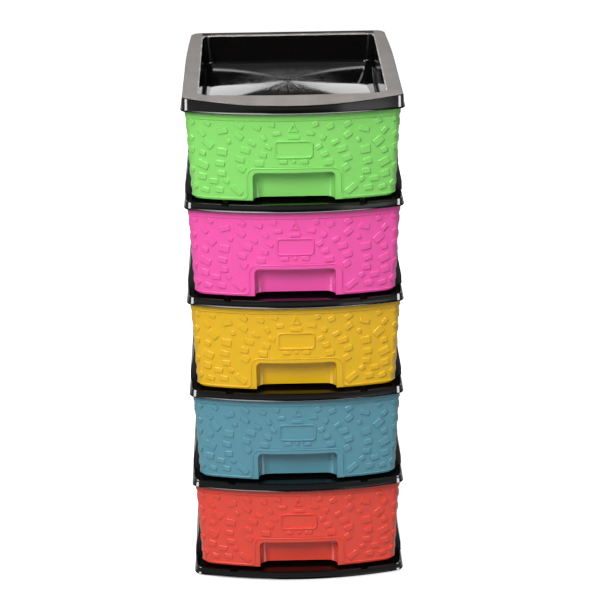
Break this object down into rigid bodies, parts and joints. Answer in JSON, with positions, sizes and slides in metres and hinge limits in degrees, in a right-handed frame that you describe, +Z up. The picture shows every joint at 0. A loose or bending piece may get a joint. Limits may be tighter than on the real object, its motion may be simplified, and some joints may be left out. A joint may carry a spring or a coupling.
{
  "type": "plastic drawer tower",
  "caption": "Tall plastic storage tower: bow-fronted coloured drawers with finger pockets and label frames slide in a black frame of lipped shelves under a tray top.",
  "frame": {"origin": "middle of the footprint's box, on the ground under the feet", "axes": "+X to the right as seen from the front, +Y from the drawers' fronts to the back, +Z up"},
  "size_m": [0.2668, 0.3618, 0.6267],
  "materials": {
    "frame_black": "satin, lightly textured",
    "tray_black": "matte rim, glossy recess",
    "foot_rubber": "matte",
    "drawer_red": "satin",
    "drawer_blue": "satin",
    "drawer_yellow": "satin",
    "drawer_pink": "satin",
    "drawer_green": "satin"
  },
  "bodies": {
    "frame": {"base": "frame_black", "shelf_1": "frame_black", "shelf_2": "frame_black", "shelf_3": "frame_black", "shelf_4": "frame_black", "top_tray": "tray_black", "feet": "foot_rubber", "left_panel_1": "frame_black", "left_panel_2": "frame_black", "left_panel_3": "frame_black", "left_panel_4": "frame_black", "left_panel_5": "frame_black", "right_panel_1": "frame_black", "right_panel_2": "frame_black", "right_panel_3": "frame_black", "right_panel_4": "frame_black", "right_panel_5": "frame_black", "back_panel_1": "frame_black", "back_panel_2": "frame_black", "back_panel_3": "frame_black", "back_panel_4": "frame_black", "back_panel_5": "frame_black"},
    "drawer_1_body": {"drawer_1": "drawer_red"},
    "drawer_2_body": {"drawer_2": "drawer_blue"},
    "drawer_3_body": {"drawer_3": "drawer_yellow"},
    "drawer_4_body": {"drawer_4": "drawer_pink"},
    "drawer_5_body": {"drawer_5": "drawer_green"}
  },
  "joints": [
    {"name": "drawer_1_slide", "type": "slide", "parent": "frame", "child": "drawer_1_body", "axis": [0, -1, 0], "range_m": [0, 0.24]},
    {"name": "drawer_2_slide", "type": "slide", "parent": "frame", "child": "drawer_2_body", "axis": [0, -1, 0], "range_m": [0, 0.24]},
    {"name": "drawer_3_slide", "type": "slide", "parent": "frame", "child": "drawer_3_body", "axis": [0, -1, 0], "range_m": [0, 0.24]},
    {"name": "drawer_4_slide", "type": "slide", "parent": "frame", "child": "drawer_4_body", "axis": [0, -1, 0], "range_m": [0, 0.24]},
    {"name": "drawer_5_slide", "type": "slide", "parent": "frame", "child": "drawer_5_body", "axis": [0, -1, 0], "range_m": [0, 0.24]}
  ]
}
